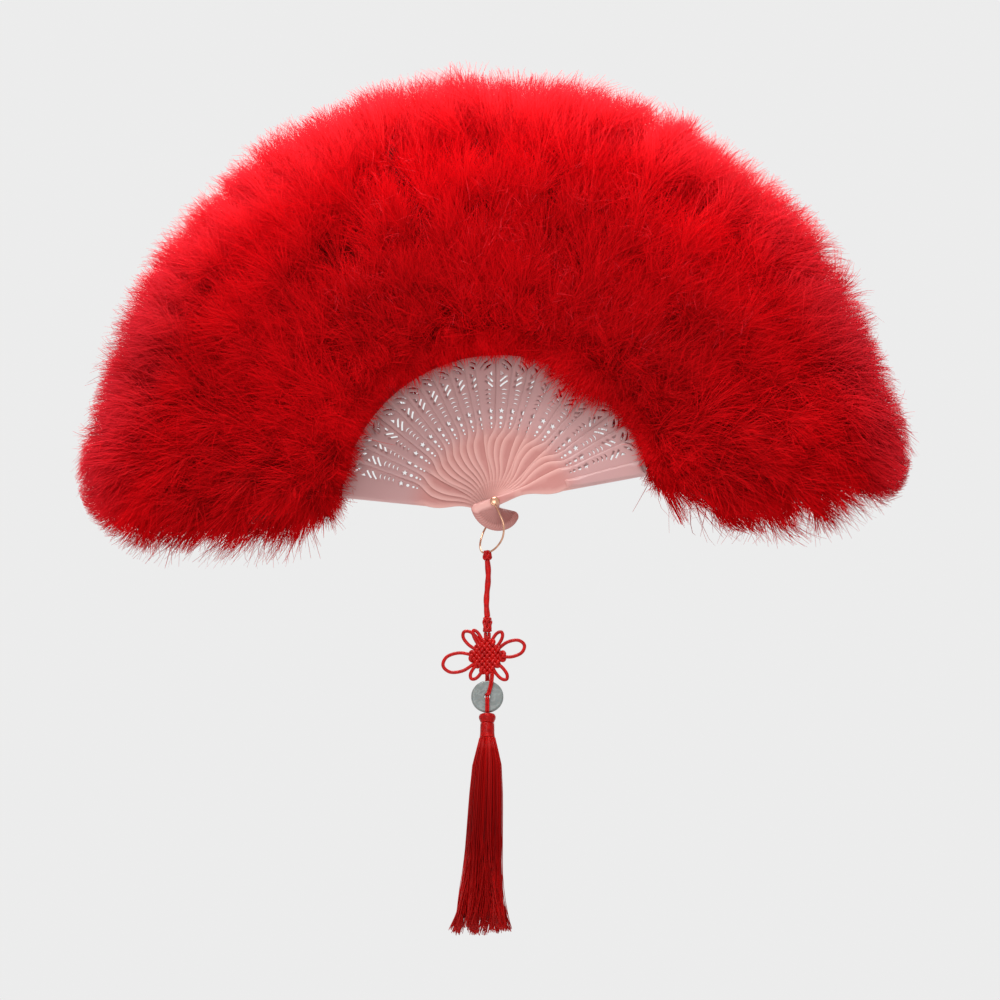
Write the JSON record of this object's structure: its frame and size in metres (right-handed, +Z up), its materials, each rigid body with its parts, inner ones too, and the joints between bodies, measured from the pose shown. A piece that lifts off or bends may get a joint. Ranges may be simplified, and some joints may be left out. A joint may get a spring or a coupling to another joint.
{
  "type": "folding feather fan",
  "caption": "Folding feather fan: pierced sticks on one rivet, each with a feather plume, and a wire bail with a cord, woven knot, stone ring and tassel.",
  "frame": {"origin": "on the rivet's axis, in the middle of the stack of sticks, where the hand holds the fan", "axes": "+X to the right seen from the front, +Y to the back along the rivet, +Z up along the middle stick"},
  "size_m": [0.451, 0.08, 0.481],
  "materials": {
    "gorge": "moulded, satin",
    "feather": "dyed feather, soft",
    "ribbon": "satin ribbon",
    "gold": "bright rose gold plate",
    "cord": "braided cord",
    "stone": "polished",
    "silk": "silky thread"
  },
  "bodies": {
    "front_guard": {"front_guard": "gorge", "rivet": "gold", "rivet_burr": "gold", "plume_23": "feather", "spread_ribbon": "ribbon"},
    "stick_22": {"stick_22": "gorge", "plume_22": "feather"},
    "stick_21": {"stick_21": "gorge", "plume_21": "feather"},
    "stick_20": {"stick_20": "gorge", "plume_20": "feather"},
    "stick_19": {"stick_19": "gorge", "plume_19": "feather"},
    "stick_18": {"stick_18": "gorge", "plume_18": "feather"},
    "stick_17": {"stick_17": "gorge", "plume_17": "feather"},
    "stick_16": {"stick_16": "gorge", "plume_16": "feather"},
    "stick_15": {"stick_15": "gorge", "plume_15": "feather"},
    "stick_14": {"stick_14": "gorge", "plume_14": "feather"},
    "stick_13": {"stick_13": "gorge", "plume_13": "feather"},
    "stick_12": {"stick_12": "gorge", "plume_12": "feather"},
    "stick_11": {"stick_11": "gorge", "plume_11": "feather"},
    "stick_10": {"stick_10": "gorge", "plume_10": "feather"},
    "stick_09": {"stick_09": "gorge", "plume_09": "feather"},
    "stick_08": {"stick_08": "gorge", "plume_08": "feather"},
    "stick_07": {"stick_07": "gorge", "plume_07": "feather"},
    "stick_06": {"stick_06": "gorge", "plume_06": "feather"},
    "stick_05": {"stick_05": "gorge", "plume_05": "feather"},
    "stick_04": {"stick_04": "gorge", "plume_04": "feather"},
    "stick_03": {"stick_03": "gorge", "plume_03": "feather"},
    "stick_02": {"stick_02": "gorge", "plume_02": "feather"},
    "back_guard": {"back_guard": "gorge", "plume_01": "feather"},
    "bail": {"bail": "gold"},
    "bead": {"cord_bead": "cord"},
    "pendant": {"hang_cord": "cord", "cord_collar": "cord", "endless_knot": "cord"},
    "ring": {"stone_ring": "stone"},
    "tassel": {"tassel_loop": "cord", "tassel_cap": "cord", "tassel_neck": "cord", "tassel_skirt": "silk"}
  },
  "joints": [
    {"name": "fan_fold", "type": "hinge", "parent": "front_guard", "child": "back_guard", "pos_m": [0, 0, 0], "axis": [0, 1, 0], "range_deg": [0, 141.3], "deforming": ["plume_01", "plume_23", "spread_ribbon"]},
    {"name": "stick_22_turn", "type": "hinge", "parent": "front_guard", "child": "stick_22", "pos_m": [0, 0, 0], "axis": [0, 1, 0], "range_deg": [0, 6.5], "deforming": ["plume_22"]},
    {"name": "stick_21_turn", "type": "hinge", "parent": "front_guard", "child": "stick_21", "pos_m": [0, 0, 0], "axis": [0, 1, 0], "range_deg": [0, 12.9], "deforming": ["plume_21"]},
    {"name": "stick_20_turn", "type": "hinge", "parent": "front_guard", "child": "stick_20", "pos_m": [0, 0, 0], "axis": [0, 1, 0], "range_deg": [0, 19.3], "deforming": ["plume_20"]},
    {"name": "stick_19_turn", "type": "hinge", "parent": "front_guard", "child": "stick_19", "pos_m": [0, 0, 0], "axis": [0, 1, 0], "range_deg": [0, 25.7], "deforming": ["plume_19"]},
    {"name": "stick_18_turn", "type": "hinge", "parent": "front_guard", "child": "stick_18", "pos_m": [0, 0, 0], "axis": [0, 1, 0], "range_deg": [0, 32.2], "deforming": ["plume_18"]},
    {"name": "stick_17_turn", "type": "hinge", "parent": "front_guard", "child": "stick_17", "pos_m": [0, 0, 0], "axis": [0, 1, 0], "range_deg": [0, 38.6], "deforming": ["plume_17"]},
    {"name": "stick_16_turn", "type": "hinge", "parent": "front_guard", "child": "stick_16", "pos_m": [0, 0, 0], "axis": [0, 1, 0], "range_deg": [0, 45], "deforming": ["plume_16"]},
    {"name": "stick_15_turn", "type": "hinge", "parent": "front_guard", "child": "stick_15", "pos_m": [0, 0, 0], "axis": [0, 1, 0], "range_deg": [0, 51.4], "deforming": ["plume_15"]},
    {"name": "stick_14_turn", "type": "hinge", "parent": "front_guard", "child": "stick_14", "pos_m": [0, 0, 0], "axis": [0, 1, 0], "range_deg": [0, 57.9], "deforming": ["plume_14"]},
    {"name": "stick_13_turn", "type": "hinge", "parent": "front_guard", "child": "stick_13", "pos_m": [0, 0, 0], "axis": [0, 1, 0], "range_deg": [0, 64.3], "deforming": ["plume_13"]},
    {"name": "stick_12_turn", "type": "hinge", "parent": "front_guard", "child": "stick_12", "pos_m": [0, 0, 0], "axis": [0, 1, 0], "range_deg": [0, 70.7], "deforming": ["plume_12"]},
    {"name": "stick_11_turn", "type": "hinge", "parent": "front_guard", "child": "stick_11", "pos_m": [0, 0, 0], "axis": [0, 1, 0], "range_deg": [0, 77.1], "deforming": ["plume_11"]},
    {"name": "stick_10_turn", "type": "hinge", "parent": "front_guard", "child": "stick_10", "pos_m": [0, 0, 0], "axis": [0, 1, 0], "range_deg": [0, 83.5], "deforming": ["plume_10"]},
    {"name": "stick_09_turn", "type": "hinge", "parent": "front_guard", "child": "stick_09", "pos_m": [0, 0, 0], "axis": [0, 1, 0], "range_deg": [0, 90], "deforming": ["plume_09"]},
    {"name": "stick_08_turn", "type": "hinge", "parent": "front_guard", "child": "stick_08", "pos_m": [0, 0, 0], "axis": [0, 1, 0], "range_deg": [0, 96.4], "deforming": ["plume_08"]},
    {"name": "stick_07_turn", "type": "hinge", "parent": "front_guard", "child": "stick_07", "pos_m": [0, 0, 0], "axis": [0, 1, 0], "range_deg": [0, 102.8], "deforming": ["plume_07"]},
    {"name": "stick_06_turn", "type": "hinge", "parent": "front_guard", "child": "stick_06", "pos_m": [0, 0, 0], "axis": [0, 1, 0], "range_deg": [0, 109.2], "deforming": ["plume_06"]},
    {"name": "stick_05_turn", "type": "hinge", "parent": "front_guard", "child": "stick_05", "pos_m": [0, 0, 0], "axis": [0, 1, 0], "range_deg": [0, 115.7], "deforming": ["plume_05"]},
    {"name": "stick_04_turn", "type": "hinge", "parent": "front_guard", "child": "stick_04", "pos_m": [0, 0, 0], "axis": [0, 1, 0], "range_deg": [0, 122.1], "deforming": ["plume_04"]},
    {"name": "stick_03_turn", "type": "hinge", "parent": "front_guard", "child": "stick_03", "pos_m": [0, 0, 0], "axis": [0, 1, 0], "range_deg": [0, 128.5], "deforming": ["plume_03"]},
    {"name": "stick_02_turn", "type": "hinge", "parent": "front_guard", "child": "stick_02", "pos_m": [0, 0, 0], "axis": [0, 1, 0], "range_deg": [0, 134.9], "deforming": ["plume_02"]},
    {"name": "bail_swing", "type": "hinge", "parent": "front_guard", "child": "bail", "pos_m": [0, 0, 0], "axis": [0, 1, 0], "range_deg": [-30, 30]},
    {"name": "bead_sway", "type": "hinge", "parent": "bail", "child": "bead", "pos_m": [-0.00403, 0, -0.026], "axis": [-0.581, 0.8139, 0], "range_deg": [-20, 20]},
    {"name": "cord_swing", "type": "hinge", "parent": "bead", "child": "pendant", "pos_m": [-0.00403, 0, -0.02745], "axis": [1, 0, 0], "range_deg": [-45, 45]},
    {"name": "ring_swing", "type": "hinge", "parent": "pendant", "child": "ring", "pos_m": [-0.00403, 0, -0.10565], "axis": [0, 1, 0], "range_deg": [-20, 20]},
    {"name": "tassel_swing", "type": "hinge", "parent": "ring", "child": "tassel", "pos_m": [-0.00403, 0, -0.10685], "axis": [0, 1, 0], "range_deg": [-20, 20]}
  ],
  "couplings": [
    {"joint": "stick_22_turn", "follows": "fan_fold", "ratio": 0.045455},
    {"joint": "stick_21_turn", "follows": "fan_fold", "ratio": 0.090909},
    {"joint": "stick_20_turn", "follows": "fan_fold", "ratio": 0.13636},
    {"joint": "stick_19_turn", "follows": "fan_fold", "ratio": 0.18182},
    {"joint": "stick_18_turn", "follows": "fan_fold", "ratio": 0.22727},
    {"joint": "stick_17_turn", "follows": "fan_fold", "ratio": 0.27273},
    {"joint": "stick_16_turn", "follows": "fan_fold", "ratio": 0.31818},
    {"joint": "stick_15_turn", "follows": "fan_fold", "ratio": 0.36364},
    {"joint": "stick_14_turn", "follows": "fan_fold", "ratio": 0.40909},
    {"joint": "stick_13_turn", "follows": "fan_fold", "ratio": 0.45454},
    {"joint": "stick_12_turn", "follows": "fan_fold", "ratio": 0.5},
    {"joint": "stick_11_turn", "follows": "fan_fold", "ratio": 0.54546},
    {"joint": "stick_10_turn", "follows": "fan_fold", "ratio": 0.59091},
    {"joint": "stick_09_turn", "follows": "fan_fold", "ratio": 0.63636},
    {"joint": "stick_08_turn", "follows": "fan_fold", "ratio": 0.68182},
    {"joint": "stick_07_turn", "follows": "fan_fold", "ratio": 0.72727},
    {"joint": "stick_06_turn", "follows": "fan_fold", "ratio": 0.77273},
    {"joint": "stick_05_turn", "follows": "fan_fold", "ratio": 0.81818},
    {"joint": "stick_04_turn", "follows": "fan_fold", "ratio": 0.86364},
    {"joint": "stick_03_turn", "follows": "fan_fold", "ratio": 0.90909},
    {"joint": "stick_02_turn", "follows": "fan_fold", "ratio": 0.95454}
  ]
}
